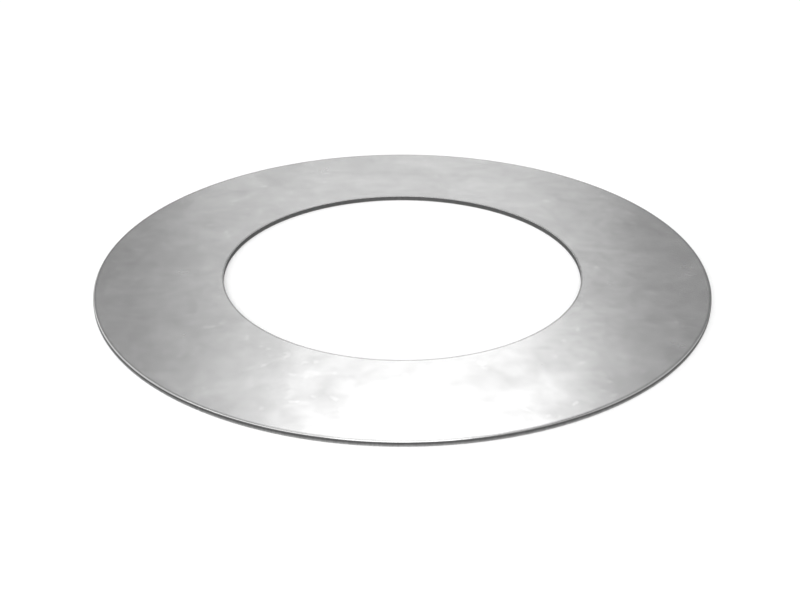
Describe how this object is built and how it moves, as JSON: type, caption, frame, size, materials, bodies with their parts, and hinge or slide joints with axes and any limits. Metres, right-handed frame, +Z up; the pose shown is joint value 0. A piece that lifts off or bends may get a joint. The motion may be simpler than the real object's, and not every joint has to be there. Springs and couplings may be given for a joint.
{
  "type": "shim ring",
  "caption": "Thin flat steel shim ring that takes up axial play beside a bearing, on a shaft or in a housing bore.",
  "frame": {"origin": "centre of the lower face, on the axis of the bore", "axes": "+Z runs up the bore's axis, out of the face with the rolled rim; X and Y lie in the ring's plane"},
  "size_m": [0.0138, 0.0138, 0.0001],
  "materials": {
    "steel": "cold-rolled strip, blanked and tumbled"
  },
  "bodies": {
    "root": {"shim_ring": "steel"}
  },
  "joints": []
}
